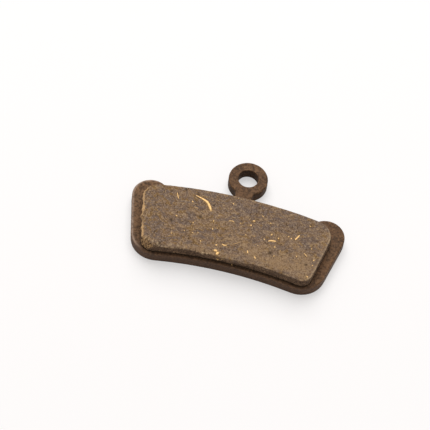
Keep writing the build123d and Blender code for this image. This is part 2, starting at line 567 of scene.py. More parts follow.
class StageLook(bpy.types.PropertyGroup):
    """The camera, lights and floor."""

    azimuth: angle("Azimuth", "Turn of the camera round the pad", 6.554)
    elevation: angle("Elevation", "Height of the camera above the horizon", 56.002)
    roll: angle("Roll", "Turn of the camera about its own view", 7.866)
    distance: length("Distance", "Way from the camera to its aim", 394.57)
    aim: bpy.props.FloatVectorProperty(
        name="Aim",
        description="Point on the floor that the camera looks at",
        subtype="TRANSLATION",
        unit="LENGTH",
        default=(-3.849 * MM, -7.233 * MM, 0.0),
    )
    lens: bpy.props.FloatProperty(
        name="Lens", description="Focal length of the camera", unit="CAMERA", default=200.93
    )
    fill: share("Fill", "Level of the light from all round", 0.36)
    warmth: colour("Fill colour", "Tint of the light from all round", (1.0, 0.92, 0.88))
    key: bpy.props.FloatProperty(
        name="Key", description="Level of the soft light behind the pad, square to it", min=0.0, default=1.155
    )
    key_place: bpy.props.FloatVectorProperty(
        name="Key place",
        description="Where the soft light hangs",
        subtype="TRANSLATION",
        unit="LENGTH",
        default=(-0.15, 0.58, 0.8),
    )
    key_size: bpy.props.FloatProperty(
        name="Key size", description="Side of the soft light", unit="LENGTH", min=0.0, default=1.0
    )
    floor: colour("Floor", "White of the floor", (0.97, 0.95, 0.945))
    whiteness: share("Whiteness", "How far the floor is lifted to white in the picture", 0.5)


class Field:
    """A number that changes over a surface. Arithmetic on it adds Math nodes to its tree."""

    def __init__(self, nodes, socket):
        self.nodes = nodes
        self.socket = socket

    def math(self, operation, first, second):
        node = self.nodes.node("ShaderNodeMath", {"operation": operation}, {0: first, 1: second})
        return Field(self.nodes, node.outputs[0])

    def __add__(self, other):
        return self.math("ADD", self, other)

    def __radd__(self, other):
        return self.math("ADD", other, self)

    def __sub__(self, other):
        return self.math("SUBTRACT", self, other)

    def __rsub__(self, other):
        return self.math("SUBTRACT", other, self)

    def __mul__(self, other):
        return self.math("MULTIPLY", self, other)

    def __rmul__(self, other):
        return self.math("MULTIPLY", other, self)

    def __pow__(self, other):
        return self.math("POWER", self, other)

    def most(self, other):
        """The larger of two values."""
        return self.math("MAXIMUM", self, other)

    def ramp(self, start, full):
        """0 up to start and 1 from full on, with an S-curve between. A full below start turns it round."""
        node = self.nodes.node(
            "ShaderNodeMapRange",
            {"interpolation_type": "SMOOTHSTEP"},
            {"Value": self, "From Min": start, "From Max": full},
        )
        return Field(self.nodes, node.outputs["Result"])


class Nodes:
    """A node tree that is being filled."""

    def __init__(self, tree):
        self.tree = tree
        tree.nodes.clear()

    def node(self, kind, settings=None, sockets=None):
        """Adds a node, with its settings first, then values or links for its sockets by name or number."""
        made = self.tree.nodes.new(kind)
        for name, value in (settings or {}).items():
            setattr(made, name, value)
        for name, value in (sockets or {}).items():
            self.feed(made.inputs[name], value)
        return made

    def feed(self, socket, value):
        """Links a socket to a field or to another socket, or sets its own value."""
        if isinstance(value, Field):
            value = value.socket
        if isinstance(value, bpy.types.NodeSocket):
            self.tree.links.new(value, socket)
        elif socket.type == "RGBA":
            socket.default_value = (*value, 1.0)
        else:
            socket.default_value = value

    def field(self, kind, settings=None, sockets=None, output=0):
        """Adds a node and gives one of its outputs as a field."""
        return Field(self, self.node(kind, settings, sockets).outputs[output])

    def vector(self, operation, sockets):
        """Adds a Vector Math node and gives its result."""
        return self.node("ShaderNodeVectorMath", {"operation": operation}, sockets).outputs[0]


class Finish(Nodes):
    """A procedural material, patterned in the pad's own coordinates."""

    def __init__(self, name):
        self.material = bpy.data.materials.new(name)
        self.material.use_nodes = True
        super().__init__(self.material.node_tree)
        self.place = self.node("ShaderNodeTexCoord").outputs["Object"]
        self.patterns = {}

    def noise(self, size, detail=3.0, warp=0.0, layer=0.0, place=None):
        """Cloudy noise, about 0.3 to 0.7, with clouds of a given size."""
        return self.field(
            "ShaderNodeTexNoise",
            {"noise_dimensions": "4D"},
            {
                "Vector": place or self.place,
                "W": layer,
                "Scale": 1 / size,
                "Detail": detail,
                "Distortion": warp,
            },
        )

    def swirled(self, reach, size):
        """The pad's coordinates carried off by slow noise, so that a pattern in them runs in curls."""
        slow = {"Vector": self.place, "Scale": 1 / size, "Detail": 1.0}
        drift = self.node("ShaderNodeTexNoise", None, slow)
        centred = self.vector("SUBTRACT", {0: drift.outputs["Color"], 1: NOISE_MIDDLE})
        scaled = self.vector("SCALE", {0: centred, "Scale": reach})
        return self.vector("ADD", {0: self.place, 1: scaled})

    def turned(self, place, turn, stretch):
        """Coordinates turned about Z and drawn out along X, for a pattern with a direction."""
        node = self.node(
            "ShaderNodeMapping",
            {"vector_type": "TEXTURE"},
            {"Vector": place, "Rotation": (0.0, 0.0, turn), "Scale": (stretch, 1.0, 1.0)},
        )
        return node.outputs["Vector"]

    def layered(self, tint, layers, look):
        """A colour with other colours of a look laid over it."""
        for layer in layers:
            tint = self.mix(layer.amount(self), tint, getattr(look, layer.colour))
        return tint

    def mark(self, name):
        """A value that the piece holds at its own points."""
        return self.field("ShaderNodeAttribute", {"attribute_name": name}, None, "Fac")

    def mix(self, amount, first, second):
        """One colour turned into another by an amount."""
        node = self.node(
            "ShaderNodeMix",
            {"data_type": "RGBA"},
            {"Factor": amount, MIX_FIRST: first, MIX_SECOND: second},
        )
        return node.outputs[MIXED]

    def bump(self, height, reach, strength):
        """A normal that follows a height, which counts as a reach in metres."""
        node = self.node("ShaderNodeBump", None, {"Height": height, "Distance": reach, "Strength": strength})
        return node.outputs["Normal"]

    def surface(self, sockets):
        """Ends the material in one principled surface."""
        shader = self.node("ShaderNodeBsdfPrincipled", None, sockets)
        self.node("ShaderNodeOutputMaterial", None, {"Surface": shader.outputs[0]})
        return self.material


def smooth(values, low, high):
    """0 up to low and 1 from high on, with an S-curve between."""
    part = np.clip((values - low) / (high - low), 0, 1)
    return part * part * (3 - 2 * part)


def bell(values, reach):
    """1 at 0, falling off in a bell curve of a given reach."""
    return np.exp(-((values / reach) ** 2))


def lumps(points, size, octaves=3, layer=0.0):
    """Fractal noise, about -1 to 1, with lumps of a given size. Layers differ from one another."""
    moved = points / size + np.array([0.0, 0.0, layer])
    return np.array([noise.fractal(at, OCTAVE_FADE, OCTAVE_RATIO, octaves) for at in moved.tolist()])


def areas(points, spots):
    """How far each point lies in any of some soft-edged areas."""
    held = np.zeros(len(points))
    for spot in spots:
        along = (points[:, 0] / MM - spot.x) / spot.along
        across = (points[:, 1] / MM - spot.y) / spot.across
        held = np.maximum(held, spot.strength * bell(np.hypot(along, across), 1.0))
    return held


def flat_outlines(node, height):
    """The outlines of a solid's flat face at a height, longest first, with an upward face on their left."""
    solid = bmesh.new()
    solid.from_mesh(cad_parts[node].data)
    bmesh.ops.remove_doubles(solid, verts=solid.verts, dist=SAME_POINT)
    sides = set()
    for face in solid.faces:
        if all(abs(vertex.co.z - height) < SAME_HEIGHT for vertex in face.verts):
            sides.update((loop.vert, loop.link_loop_next.vert) for loop in face.loops)
    following = {start: end for start, end in sides if (end, start) not in sides}
    outlines = []
    while following:
        start, at = following.popitem()
        chain = [start]
        while at != start:
            chain.append(at)
            at = following.pop(at)
        outlines.append(np.array([vertex.co.xy for vertex in chain]))
    solid.free()
    return sorted(outlines, key=lambda outline: -np.ptp(outline[:, 0]))


def resampled(outline, step):
    """A closed outline with its points an even step apart, from its rightmost point on."""
    points = np.roll(outline, -outline[:, 0].argmax(), axis=0)
    closed = np.vstack([points, points[:1]])
    run = np.concatenate([[0], np.cumsum(np.hypot(*np.diff(closed, axis=0).T))])
    stations = np.linspace(0, run[-1], round(run[-1] / step), endpoint=False)
    even = np.column_stack([np.interp(stations, run, closed[:, axis]) for axis in (0, 1)])
    for _ in range(SMOOTHING_PASSES):
        even = (np.roll(even, 1, axis=0) + 2 * even + np.roll(even, -1, axis=0)) / 4
    return even


def away(outline):
    """Unit vectors across a closed outline, pointing away from the face on its left."""
    along = np.roll(outline, -1, axis=0) - np.roll(outline, 1, axis=0)
    across = np.column_stack([along[:, 1], -along[:, 0]])
    return across / np.linalg.norm(across, axis=1, keepdims=True)


def way_in(points, outlines):
    """How far each point lies inside outlines, below 0 outside, and its nearest outline point's number."""
    gap = np.full(len(points), np.inf)
    nearest = np.zeros(len(points), int)
    inside = np.zeros(len(points), bool)
    number = 0
    for outline in outlines:
        for start, end in zip(outline, np.roll(outline, -1, axis=0)):
            across, up = (points - start).T
            reach = np.hypot(across, up)
            nearest[reach < gap] = number
            gap = np.minimum(gap, reach)
            spans = (start[1] > points[:, 1]) != (end[1] > points[:, 1])
            turn = (end[0] - start[0]) * up - across * (end[1] - start[1])
            inside ^= spans & ((turn > 0) == (end[1] > start[1]))
            number += 1
    return np.where(inside, gap, -gap), nearest


def hex_grid(low, high, step):
    """Points of a triangular grid over a rectangle."""
    rows = np.arange(low[1], high[1], step * math.sqrt(3) / 2)
    columns = np.arange(low[0], high[0], step)
    across, up = np.meshgrid(columns, rows)
    across[1::2] += step / 2
    return np.column_stack([across.ravel(), up.ravel()])


def triangles(points, rims):
    """Triangles over a flat face's points. The first points are its rims, and nothing spans a gap in it."""
    edges = []
    for rim in rims:
        first = len(edges)
        edges += [(first + i, first + (i + 1) % len(rim)) for i in range(len(rim))]
    found = delaunay_2d_cdt([Vector(point) for point in points / MM], edges, [], 0, SAME_POINT)[2]
    bridges = [face for face in found if max(face) < len(edges)]
    held, _ = way_in(np.array([points[face].mean(axis=0) for face in bridges]), rims)
    spans = {tuple(face) for face, gap in zip(bridges, held) if gap < 0}
    return [tuple(face) for face in found if tuple(face) not in spans]


def rolled(radius, count):
    """Rows down a quarter round, as pairs of the way out and the way down from its upper rim."""
    turns = [math.pi / 2 * (row + 1) / count for row in range(count)]
    return [(radius * math.sin(turn), radius * (1 - math.cos(turn))) for turn in turns]


def straight(start, end, count):
    """Rows down a straight wall, as pairs of the way out and the way down, after its start."""
    return [tuple(np.add(start, np.subtract(end, start) * (row + 1) / count)) for row in range(count)]


class Slab:
    """A flat-topped solid under outlines, as points and faces.

    Each point knows its way in from the rim of the top, its way down from it, and where that rim faces.
    """

    def __init__(self, outlines, top, profiles, step, covered=None):
        rims = [resampled(outline, step) for outline in outlines]
        rim = np.vstack(rims)
        facing = np.vstack([away(outline) for outline in rims])
        grid = hex_grid(rim.min(axis=0), rim.max(axis=0), step)
        inset, nearest = way_in(grid, rims)
        shown = inset > GRID_CLEARANCE * step
        if covered is not None:
            shown &= ~covered(grid)
        flat = np.vstack([rim, grid[shown]])
        rows = [self.row(rims, top, steps) for steps in zip(*profiles)]
        self.points = np.vstack([np.column_stack([flat, np.full(len(flat), top)]), *rows])
        self.facing = np.vstack([facing, facing[nearest[shown]], *[facing] * len(rows)])
        self.inset = np.concatenate([np.zeros(len(rim)), inset[shown], np.zeros(len(rim) * len(rows))])
        self.drop = top - self.points[:, 2]
        self.faces = triangles(flat, rims)
        starts = [0] + [len(flat) + len(rim) * row for row in range(len(rows))]
        for upper, lower in zip(starts, starts[1:]):
            self.faces += self.band(rims, upper, lower)
        foot = [rows[-1][first : first + len(outline), :2] for first, outline in self.spans(rims)]
        for face in triangles(np.vstack(foot), foot):
            self.faces.append(tuple(starts[-1] + corner for corner in reversed(face)))

    @staticmethod
    def spans(rims):
        """Each outline with the number of its first point."""
        firsts = np.cumsum([0] + [len(outline) for outline in rims])
        return zip(firsts, rims)

    @staticmethod
    def row(rims, top, steps):
        """A row of points below the rims, with a step out and down from each."""
        parts = []
        for outline, (out, down) in zip(rims, steps):
            parts.append(np.column_stack([outline + away(outline) * out, np.full(len(outline), top - down)]))
        return np.vstack(parts)

    def band(self, rims, upper, lower):
        """The faces between two rows of points."""
        faces = []
        for first, outline in self.spans(rims):
            for i in range(len(outline)):
                here, ahead = first + i, first + (i + 1) % len(outline)
                faces.append((upper + here, lower + here, lower + ahead, upper + ahead))
        return faces


def piece(name, points, faces, material, marks):
    """A mesh on the pad's body, with named values at its points for its finish to read."""
    mesh = bpy.data.meshes.new(name)
    mesh.from_pydata(points, [], faces)
    mesh.shade_smooth()
    for mark, values in marks.items():
        mesh.attributes.new(mark, "FLOAT", "POINT").data.foreach_set("value", values.astype(np.float32))
    return placed(name, mesh, material)


def placed(name, mesh, material):
    """An object for a finished mesh, riding on the pad's body."""
    mesh.materials.clear()
    mesh.materials.append(material)
    made = bpy.data.objects.new(name, mesh)
    bpy.context.collection.objects.link(made)
    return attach(made, BODY)


def point_normals(points, faces):
    """The outward direction at each point of a mesh."""
    mesh = bpy.data.meshes.new("normals")
    mesh.from_pydata(points, [], faces)
    normals = np.empty(len(points) * 3, np.float32)
    mesh.vertex_normals.foreach_get("vector", normals)
    bpy.data.meshes.remove(mesh)
    return normals.reshape(-1, 3)


def coated_steel(look):
    """Brown coating on blanked steel: mottled, rippled and lighter in places, pale along its left rim from
    wear and a painted highlight, with painted light on its right end and painted shade in the hole and on the
    walls away from the front.
    """
    finish = Finish(STEEL_SLOT)
    mottle = finish.noise(look.mottle, detail=3.0, warp=0.5, layer=3.0)
    speck = finish.noise(look.speck, detail=2.0, layer=6.0)
    finish.patterns = {
        "cloud": finish.noise(look.cloud, detail=4.0, warp=0.8),
        "mottle": mottle,
        "speck": speck,
        "patchy": mottle.ramp(*PATCHY),
    }
    return finish.surface(
        {
            "Base Color": finish.layered(look.coating, STEEL_LAYERS, look),
            "Roughness": look.roughness + mottle * ROUGHNESS_SPREAD,
            "Specular IOR Level": look.sheen,
            "Normal": finish.bump(speck + mottle * MOTTLE_RELIEF, look.grain, look.relief),
        }
    )


def friction_compound(look):
    """Moulded compound: grey-brown resin with slate and tan patches, smears, pulp, crumbs and dark pits."""
    finish = Finish(COMPOUND_SLOT)
    drift = finish.swirled(look.swirl, look.curl)
    along_smears = finish.turned(drift, turn=0.25, stretch=4.0)
    along_veins = finish.turned(drift, turn=-0.2, stretch=2.0)
    along_pulp = finish.turned(drift, turn=-0.5, stretch=1.7)
    smear = finish.noise(look.smear, detail=2.0, layer=8.0, place=along_smears)
    vein = finish.noise(look.vein, detail=1.5, layer=12.0, place=along_veins)
    pulp = finish.noise(look.pulp, detail=2.0, layer=2.0, place=along_pulp)
    crumb = finish.noise(look.crumb, detail=2.0, layer=6.0)
    finish.patterns = {
        "cloud": finish.noise(look.cloud, detail=3.0, warp=0.8),
        "smear": smear,
        "vein": vein,
        "pulp": pulp,
        "crumb": crumb,
        "streaky": smear.ramp(*STREAKY),
        "veined": vein.ramp(*VEINED),
        "rough": crumb.ramp(*ROUGH),
    }
    face = finish.layered(look.base, FACE_LAYERS, look)
    wall = finish.layered(look.skin, WALL_LAYERS, look)
    moulded = finish.mix(finish.mark("wall"), face, wall)
    relief = crumb + smear * SMEAR_RELIEF + pulp * PULP_RELIEF
    return finish.surface(
        {
            "Base Color": finish.layered(moulded, WEAR_LAYERS, look),
            "Roughness": look.roughness + crumb * ROUGHNESS_SPREAD,
            "Specular IOR Level": look.sheen,
            "Normal": finish.bump(relief, look.grain, look.relief),
        }
    )


def brass(look):
    """Cut brass: scratched, stained, and dulled by the tarnish that each fleck holds."""
    finish = Finish(BRASS)
    scratch = finish.noise(look.scratch, detail=2.0, layer=3.0)
    stain = finish.noise(look.stain, detail=3.0).ramp(*STAINED)
    tarnish = finish.mark("tarnish") + stain * look.stained
    return finish.surface(
        {
            "Base Color": finish.mix(tarnish, look.bright, look.dull),
            "Metallic": 1.0,
            "Roughness": look.roughness + scratch * ROUGHNESS_SPREAD,
            "Normal": finish.bump(scratch, look.grain, look.relief),
        }
    )


def tree(name, inputs):
    """A Geometry Nodes tree with named inputs after its geometry, and its input node's sockets."""
    group = bpy.data.node_groups.new(name, "GeometryNodeTree")
    group.interface.new_socket("Geometry", in_out="OUTPUT", socket_type="NodeSocketGeometry")
    group.interface.new_socket("Geometry", in_out="INPUT", socket_type="NodeSocketGeometry")
    for label, kind in inputs.items():
        group.interface.new_socket(label, in_out="INPUT", socket_type=kind)
    nodes = Nodes(group)
    return nodes, nodes.node("NodeGroupInput").outputs


def close(nodes, geometry, lift, material):
    """Ends a tree: the geometry is lifted onto its face, its instances made real and its material set."""
    rise = nodes.node("ShaderNodeCombineXYZ", None, {"Z": lift}).outputs[0]
    set_on = nodes.node("GeometryNodeTransform", None, {"Geometry": geometry, "Translation": rise})
    real = nodes.node("GeometryNodeRealizeInstances", None, {"Geometry": set_on.outputs[0]})
    dressed = nodes.node("GeometryNodeSetMaterial", None, {"Geometry": real.outputs[0], "Material": material})
    nodes.node("NodeGroupOutput", None, {0: dressed.outputs[0]})
    return nodes.tree


def grown(name, mesh, group, values):
    """The plain mesh that a Geometry Nodes tree makes from a mesh."""
    seed = bpy.data.objects.new(name, mesh)
    bpy.context.collection.objects.link(seed)
    modifier = seed.modifiers.new(name, "NODES")
    modifier.node_group = group
    for item in group.interface.items_tree:
        if item.in_out == "INPUT" and item.name in values:
            modifier[item.identifier] = values[item.name]
    depsgraph = bpy.context.evaluated_depsgraph_get()
    made = bpy.data.meshes.new_from_object(seed.evaluated_get(depsgraph), depsgraph=depsgraph)
    seed.modifiers.remove(modifier)
    bpy.data.objects.remove(seed)
    bpy.data.meshes.remove(mesh)
    made.name = name
    made.shade_smooth()
    return made


def strand_tree():
    """A tree that turns chains of edges into strands, thickest halfway and flattened onto their face."""
    nodes, given = tree(
        "brass_strands",
        {
            "Face Height": "NodeSocketFloat",
            "Flatness": "NodeSocketFloat",
            "Material": "NodeSocketMaterial",
        },
    )
    chain = nodes.node("GeometryNodeMeshToCurve", None, {"Mesh": given["Geometry"]}).outputs[0]
    smooth_spline = {"spline_type": "CATMULL_ROM"}
    bent = nodes.node("GeometryNodeCurveSplineType", smooth_spline, {"Curve": chain}).outputs[0]
    curve = nodes.node("GeometryNodeResampleCurve", None, {"Curve": bent, "Count": STRAND_ROWS}).outputs[0]
    along = nodes.field("GeometryNodeSplineParameter")
    width = nodes.field("GeometryNodeInputNamedAttribute", None, {"Name": "width"})
    girth = width * (4.0 * along * (1.0 - along)) ** STRAND_TAPER
    section = nodes.node(
        "GeometryNodeCurvePrimitiveCircle", None, {"Resolution": STRAND_SIDES, "Radius": UNIT_RADIUS}
    ).outputs[0]
    strand = nodes.node(
        "GeometryNodeCurveToMesh",
        None,
        {"Curve": curve, "Profile Curve": section, "Scale": girth, "Fill Caps": True},
    )
    flat = nodes.node("ShaderNodeCombineXYZ", None, {"X": 1.0, "Y": 1.0, "Z": given["Flatness"]})
    pressed = nodes.node(
        "GeometryNodeTransform", None, {"Geometry": strand.outputs[0], "Scale": flat.outputs[0]}
    )
    return close(nodes, pressed.outputs[0], given["Face Height"], given["Material"])


def drawn(nodes, seed, draw, low, high):
    """A number drawn at random for each point or instance. Draws differ from one another."""
    limits = {DRAW_LOW: low, DRAW_HIGH: high, "Seed": seed + draw}
    return nodes.field("FunctionNodeRandomValue", None, limits, DRAWN)


def flakes(nodes, points, long, wide, flatness, seed, tarnish):
    """Flattened grains on points, each turned at random and tarnished at random up to a level."""
    ball = nodes.node(
        "GeometryNodeMeshIcoSphere", None, {"Radius": UNIT_RADIUS, "Subdivisions": BALL_SUBDIVISIONS}
    ).outputs[0]
    dent = nodes.node("ShaderNodeTexNoise", None, {"Scale": DENT_SCALE, "Detail": 1.0}).outputs["Color"]
    uneven = nodes.vector("SUBTRACT", {0: dent, 1: NOISE_MIDDLE})
    grain = nodes.node("GeometryNodeSetPosition", None, {"Geometry": ball, "Offset": uneven}).outputs[0]
    size = nodes.node("ShaderNodeCombineXYZ", None, {"X": long, "Y": wide, "Z": wide * flatness}).outputs[0]
    turn = drawn(nodes, seed, TURN_DRAW, 0.0, math.pi)
    spin = nodes.node("ShaderNodeCombineXYZ", None, {"Z": turn}).outputs[0]
    lay = nodes.node("FunctionNodeEulerToRotation", None, {"Euler": spin}).outputs[0]
    grains = nodes.node(
        "GeometryNodeInstanceOnPoints",
        None,
        {"Points": points, "Instance": grain, "Rotation": lay, "Scale": size},
    ).outputs[0]
    level = drawn(nodes, seed, TARNISH_DRAW, 0.0, tarnish)
    dulled = nodes.node(
        "GeometryNodeStoreNamedAttribute",
        {"data_type": "FLOAT", "domain": "INSTANCE"},
        {"Geometry": grains, "Name": "tarnish", "Value": level},
    )
    return dulled.outputs[0]


def grain_tree():
    """A tree that sets a grain on each point of a mesh, sized by the point's own values."""
    nodes, given = tree(
        "brass_grains",
        {
            "Face Height": "NodeSocketFloat",
            "Flatness": "NodeSocketFloat",
            "Seed": "NodeSocketInt",
            "Material": "NodeSocketMaterial",
        },
    )
    points = nodes.node("GeometryNodeMeshToPoints", None, {"Mesh": given["Geometry"]}).outputs[0]
    long = nodes.field("GeometryNodeInputNamedAttribute", None, {"Name": "long"})
    wide = nodes.field("GeometryNodeInputNamedAttribute", None, {"Name": "wide"})
    flatness = Field(nodes, given["Flatness"])
    grains = flakes(nodes, points, long, wide, flatness, Field(nodes, given["Seed"]), GRAIN_TARNISH)
    return close(nodes, grains, given["Face Height"], given["Material"])


def fleck_tree():
    """A tree that scatters small flecks over a face."""
    nodes, given = tree(
        "brass_flecks",
        {
            "Density": "NodeSocketFloat",
            "Longest": "NodeSocketFloat",
            "Flatness": "NodeSocketFloat",
            "Seed": "NodeSocketInt",
            "Material": "NodeSocketMaterial",
        },
    )
    points = nodes.node(
        "GeometryNodeDistributePointsOnFaces",
        None,
        {"Mesh": given["Geometry"], "Density": given["Density"], "Seed": given["Seed"]},
    ).outputs["Points"]
    seed = Field(nodes, given["Seed"])
    long = drawn(nodes, seed, LENGTH_DRAW, *FLECK_LENGTHS) ** FLECK_SKEW * given["Longest"]
    wide = long * drawn(nodes, seed, WIDTH_DRAW, *FLECK_WIDTHS)
    grains = flakes(nodes, points, long, wide, Field(nodes, given["Flatness"]), seed, FLECK_TARNISH)
    return close(nodes, grains, 0.0, given["Material"])


def chains(fibres):
    """A mesh of loose chains of edges along fibres, with a width and a tarnish at each point."""
    points, edges, widths, tarnishes = [], [], [], []
    for tarnish, path in fibres:
        for number, (x, y, width) in enumerate(path):
            if number:
                edges.append((len(points) - 1, len(points)))
            points.append((x * MM, y * MM, 0.0))
            widths.append(width * MM)
            tarnishes.append(tarnish)
    mesh = bpy.data.meshes.new("chains")
    mesh.from_pydata(points, edges, [])
    mesh.attributes.new("width", "FLOAT", "POINT").data.foreach_set("value", widths)
    mesh.attributes.new("tarnish", "FLOAT", "POINT").data.foreach_set("value", tarnishes)
    return mesh


def loose_points(grains):
    """A mesh of loose points at grains, with a length and a width at each point."""
    mesh = bpy.data.meshes.new("points")
    mesh.from_pydata([(grain.x * MM, grain.y * MM, -grain.drop * MM) for grain in grains], [], [])
    for name in ("long", "wide"):
        sizes = [getattr(grain, name) * MM for grain in grains]
        mesh.attributes.new(name, "FLOAT", "POINT").data.foreach_set("value", sizes)
    return mesh


def face_copy(node, height):
    """A copy of a solid's upward flat face at a height."""
    copy = bmesh.new()
    copy.from_mesh(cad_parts[node].data)
    others = []
    for face in copy.faces:
        if any(abs(vertex.co.z - height) > SAME_HEIGHT for vertex in face.verts):
            others.append(face)
    bmesh.ops.delete(copy, geom=others, context="FACES")
    mesh = bpy.data.meshes.new(node + "_face")
    copy.to_mesh(mesh)
    copy.free()
    return mesh


class BRAKEPAD_OT_backing_plate(bpy.types.Operator):
    """Dress the backing plate with a fine mesh, its coating, its wear, and its painted light and shade"""

    bl_idname = "brakepad.backing_plate"
    bl_label = "Backing Plate"

    def execute(self, context):
        look = context.scene.brakepad_plate
        low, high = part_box(PLATE)
        outlines = flat_outlines(PLATE, high.z)
        foot = flat_outlines(BLOCK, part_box(BLOCK)[1].z)
        roll = high.x - outlines[0][:, 0].max()
        hole_break = outlines[1][:, 0].max() - self.hole_radius()
        back_break = high.x - flat_outlines(PLATE, low.z)[0][:, 0].max()
        depth = high.z - low.z
        profiles = [self.edge(roll, depth, back_break, look), self.edge(hole_break, depth, back_break, look)]

        def covered(grid):
            return way_in(grid, foot)[0] > COVERED_STEPS * look.step

        slab = Slab(outlines, high.z, profiles, look.step, covered)
        on_wall = smooth(slab.drop, roll, 2 * roll)
        points = self.rippled(slab, on_wall, roll, look)
        marks = self.marks(slab, on_wall, roll, outlines[1][:, 0].max(), look)
        made = piece("backing_plate_dressed", points, slab.faces, coated_steel(look), marks)
        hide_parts(PLATE)
        return {"FINISHED"}

    def rippled(self, slab, on_wall, roll, look):
        """The plate's points, moved by the coating's ripple and the marks of blanking."""
        normals = point_normals(slab.points, slab.faces)
        squashed = slab.points * np.array([1.0, 1.0, SHEAR_DRAW])
        relief = look.peel * lumps(slab.points, PEEL_SIZE, octaves=2)
        relief += look.shear * on_wall * lumps(squashed, SHEAR_SIZE, layer=5.0)
        off_back = smooth(slab.points[:, 2], 0.0, roll)
        return slab.points + normals * (relief * off_back)[:, None]

    def marks(self, slab, on_wall, roll, hole_radius, look):
        """Where the plate is lighter, pale along its left rim from wear and a painted highlight, painted
        light on its right end, painted shade in the hole and on the walls away from the front, or grey from
        the blanking.
        """
        left_end = smooth(-slab.points[:, 0], *LEFT_END) * (1 - on_wall)
        ledge = smooth(-slab.facing[:, 1], *LEDGE_FACING) * (1 - on_wall)
        front = smooth(-slab.points[:, 1], *FRONT_PART)
        in_hole = np.hypot(slab.points[:, 0], slab.points[:, 1]) < hole_radius
        return {
            # Lighter on the left end, the ledge and small spots, and painted light over the right end
            "rubbed_and_lit": np.maximum.reduce([left_end, ledge, areas(slab.points, RUBBED_AND_LIT_SPOTS)]),
            # Pale rim of the left end: wear, and a painted highlight on its rounded edge
            "rim": left_end * bell(slab.inset + slab.drop, look.rim),
            # Painted shade down the pin's hole and on the walls away from the front
            "painted_shade": np.maximum(in_hole * smooth(slab.drop, 0.0, roll), on_wall * (1 - front)),
            "sheared": np.maximum(on_wall, LEDGE_SHARE * ledge) * front,
        }

    def edge(self, roll, depth, back_break, look):
        """Rows round the front edge, down the wall and over the break along the back."""
        count = round(depth / look.step)
        wall = straight((roll, roll), (roll, depth - back_break), count)
        return rolled(roll, EDGE_ROWS) + wall + [(roll - back_break, depth)]

    def hole_radius(self):
        """The radius of the pin's hole, whose axis is the frame's Z."""
        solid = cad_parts[PLATE].data
        return min(vertex.co.xy.length for vertex in solid.vertices)


